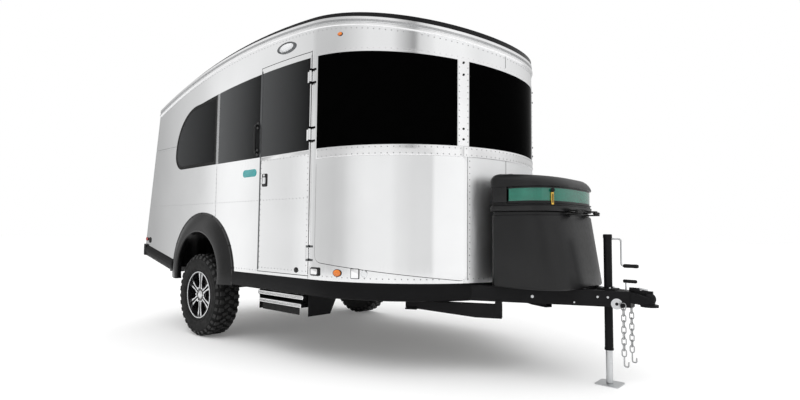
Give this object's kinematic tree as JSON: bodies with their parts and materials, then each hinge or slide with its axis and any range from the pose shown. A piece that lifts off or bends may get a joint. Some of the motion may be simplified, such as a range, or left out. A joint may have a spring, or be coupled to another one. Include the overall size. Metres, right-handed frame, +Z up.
{
  "type": "travel caravan",
  "caption": "Single-axle travel caravan: bright aluminium shell with a half-round glazed nose, black roof edge and belt, entry door, tail hatch, tongue box and jack.",
  "frame": {"origin": "on the ground under the middle of the overall length, on the centre line", "axes": "+X forward to the coupler, +Y to the street side, +Z up"},
  "size_m": [4.866, 2.246, 2.7641],
  "materials": {
    "frame_steel": "satin black coated steel",
    "floor_board": "matt composite board",
    "skin": "bright polished aluminium sheet",
    "roof_black": "gloss black",
    "moulding": "black moulded trim",
    "well": "black sprayed housing",
    "tinted_glass": "dark tinted pane",
    "black_plastic": "fine grained black",
    "lamp_white": "clear lens in a bright bezel",
    "lamp_amber": "amber lens",
    "lamp_red": "red lens",
    "bright_metal": "zinc plated",
    "tyre": "matt rubber",
    "wheel_black": "gloss black alloy with machined edges",
    "hub_iron": "turned and painted",
    "box_plastic": "black rotomoulded",
    "tread_metal": "ribbed treads with bright edges"
  },
  "bodies": {
    "caravan_body": {"chassis": "frame_steel", "axle": "frame_steel", "floor": "floor_board", "curb_wall": "skin", "street_wall": "skin", "nose_wall": "skin", "rear_wall": "skin", "roof": "roof_black", "belt_front": "moulding", "belt_rear": "moulding", "wheel_wells": "well", "flares": "moulding", "side_glass": "tinted_glass", "nose_glass": "tinted_glass", "grab_handle": "black_plastic", "porch_light": "lamp_white", "marker_lamps": "lamp_amber", "tail_lamps": "lamp_red", "door_hinges": "bright_metal", "hatch_hinges": "bright_metal", "vent_frame": "black_plastic", "air_conditioner": "black_plastic", "coupler": "frame_steel", "tongue_jack": "frame_steel", "jack_crank": "bright_metal", "chains": "bright_metal", "tongue_box": "box_plastic", "step_frame": "frame_steel"},
    "entry_door": {"door": "skin", "door_glass": "tinted_glass", "door_latch": "black_plastic"},
    "rear_hatch": {"hatch": "skin", "hatch_glass": "tinted_glass"},
    "roof_vent_lid": {"vent_lid": "black_plastic"},
    "wheel_curb": {"tyre_curb": "tyre", "rim_curb": "wheel_black", "hub_curb": "hub_iron"},
    "wheel_street": {"tyre_street": "tyre", "rim_street": "wheel_black", "hub_street": "hub_iron"},
    "storage_lid": {"box_lid": "box_plastic"},
    "upper_arms": {"step_arms_upper": "frame_steel"},
    "upper_tread": {"step_tread_upper": "tread_metal"},
    "lower_arms": {"step_arms_lower": "frame_steel"},
    "lower_tread": {"step_tread_lower": "tread_metal"},
    "stabiliser_front_curb": {"leg_front_curb": "frame_steel"},
    "stabiliser_front_street": {"leg_front_street": "frame_steel"},
    "stabiliser_rear_curb": {"leg_rear_curb": "frame_steel"},
    "stabiliser_rear_street": {"leg_rear_street": "frame_steel"}
  },
  "joints": [
    {"name": "door_swing", "type": "hinge", "parent": "caravan_body", "child": "entry_door", "pos_m": [0.39552, -1.08, 1.3], "axis": [0, 0, 1], "range_deg": [0, 150]},
    {"name": "hatch_lift", "type": "hinge", "parent": "caravan_body", "child": "rear_hatch", "pos_m": [-2.16483, 0, 2.06318], "axis": [0, 1, 0], "range_deg": [0, 85]},
    {"name": "vent_tilt", "type": "hinge", "parent": "caravan_body", "child": "roof_vent_lid", "pos_m": [-0.67098, 0, 2.57773], "axis": [0, 1, 0], "range_deg": [0, 70]},
    {"name": "wheel_curb_spin", "type": "hinge", "parent": "caravan_body", "child": "wheel_curb", "pos_m": [-1.15698, -0.982, 0.37], "axis": [0, 1, 0], "continuous": true},
    {"name": "wheel_street_spin", "type": "hinge", "parent": "caravan_body", "child": "wheel_street", "pos_m": [-1.15698, 0.982, 0.37], "axis": [0, 1, 0], "continuous": true},
    {"name": "storage_lid_tilt", "type": "hinge", "parent": "caravan_body", "child": "storage_lid", "pos_m": [2.00702, 0, 1.097], "axis": [0, 1, 0], "range_deg": [0, 80]},
    {"name": "step_fold", "type": "hinge", "parent": "caravan_body", "child": "upper_arms", "pos_m": [0.02302, -0.9, 0.43], "axis": [-1, 0, 0], "range_deg": [0, 180]},
    {"name": "upper_tread_turn", "type": "hinge", "parent": "upper_arms", "child": "upper_tread", "pos_m": [0.02302, -0.77784, 0.47446], "axis": [-1, 0, 0], "range_deg": [-180, 0]},
    {"name": "lower_arm_fold", "type": "hinge", "parent": "upper_tread", "child": "lower_arms", "pos_m": [0.02302, -0.9, 0.4], "axis": [-1, 0, 0], "range_deg": [0, 180]},
    {"name": "lower_tread_turn", "type": "hinge", "parent": "lower_arms", "child": "lower_tread", "pos_m": [0.02302, -0.77784, 0.44446], "axis": [-1, 0, 0], "range_deg": [-180, 0]},
    {"name": "front_curb_drop", "type": "hinge", "parent": "caravan_body", "child": "stabiliser_front_curb", "pos_m": [1.5361, -0.36064, 0.434], "axis": [0.4226, -0.9063, 0], "range_deg": [0, 39]},
    {"name": "front_street_drop", "type": "hinge", "parent": "caravan_body", "child": "stabiliser_front_street", "pos_m": [1.5361, 0.36064, 0.434], "axis": [-0.4226, -0.9063, 0], "range_deg": [0, 39]},
    {"name": "rear_curb_drop", "type": "hinge", "parent": "caravan_body", "child": "stabiliser_rear_curb", "pos_m": [-2.27698, -0.8, 0.55367], "axis": [0, 1, 0], "range_deg": [0, 56]},
    {"name": "rear_street_drop", "type": "hinge", "parent": "caravan_body", "child": "stabiliser_rear_street", "pos_m": [-2.27698, 0.8, 0.55367], "axis": [0, 1, 0], "range_deg": [0, 56]}
  ],
  "couplings": [
    {"joint": "upper_tread_turn", "follows": "step_fold", "ratio": -1},
    {"joint": "lower_arm_fold", "follows": "step_fold", "ratio": 1},
    {"joint": "lower_tread_turn", "follows": "step_fold", "ratio": -1}
  ]
}
